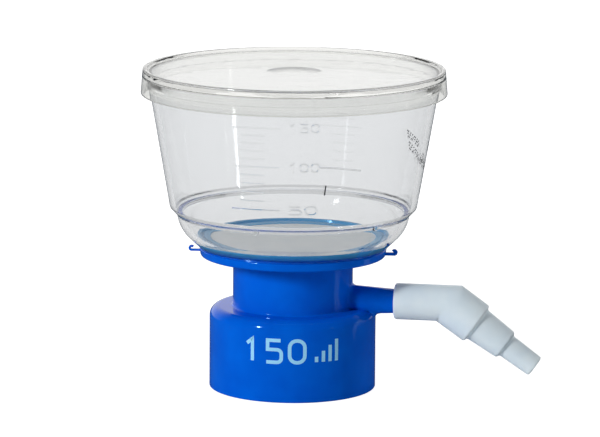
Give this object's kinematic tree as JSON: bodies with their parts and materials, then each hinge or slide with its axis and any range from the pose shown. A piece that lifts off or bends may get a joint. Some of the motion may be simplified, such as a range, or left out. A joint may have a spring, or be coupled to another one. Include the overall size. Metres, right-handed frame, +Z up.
{
  "type": "vacuum filtration unit",
  "caption": "Bottle-top vacuum filter: clear lidded funnel on a blue base with a flat membrane, a screw collar for a 45 mm bottle neck, and a side arm with a stepped hose elbow.",
  "frame": {"origin": "centre of the whole part's footprint, in the plane of the collar's mouth that it stands on", "axes": "+Z up along the funnel's axis, +X along the vacuum side arm"},
  "size_m": [0.1176, 0.0888, 0.0939],
  "materials": {
    "blue_base": "smooth glossy moulded blue plastic",
    "soft_seal": "soft white moulded seal",
    "cotton": "loose white cotton",
    "membrane": "matt white porous filter membrane",
    "clear_funnel": "clear polished moulded polystyrene",
    "clear_lid": "clear polished moulded polystyrene",
    "white_connector": "satin translucent white moulded polyethylene"
  },
  "bodies": {
    "filter_unit": {"base_adapter": "blue_base", "sealing_ring": "soft_seal", "side_arm_plug": "cotton", "membrane": "membrane", "clamp_ring": "blue_base", "funnel": "clear_funnel", "lid": "clear_lid"},
    "connector": {"hose_connector": "white_connector"}
  },
  "joints": [
    {"name": "connector_swivel", "type": "hinge", "parent": "filter_unit", "child": "connector", "pos_m": [0.02, 0, 0.0263], "axis": [1, 0, 0], "continuous": true}
  ]
}
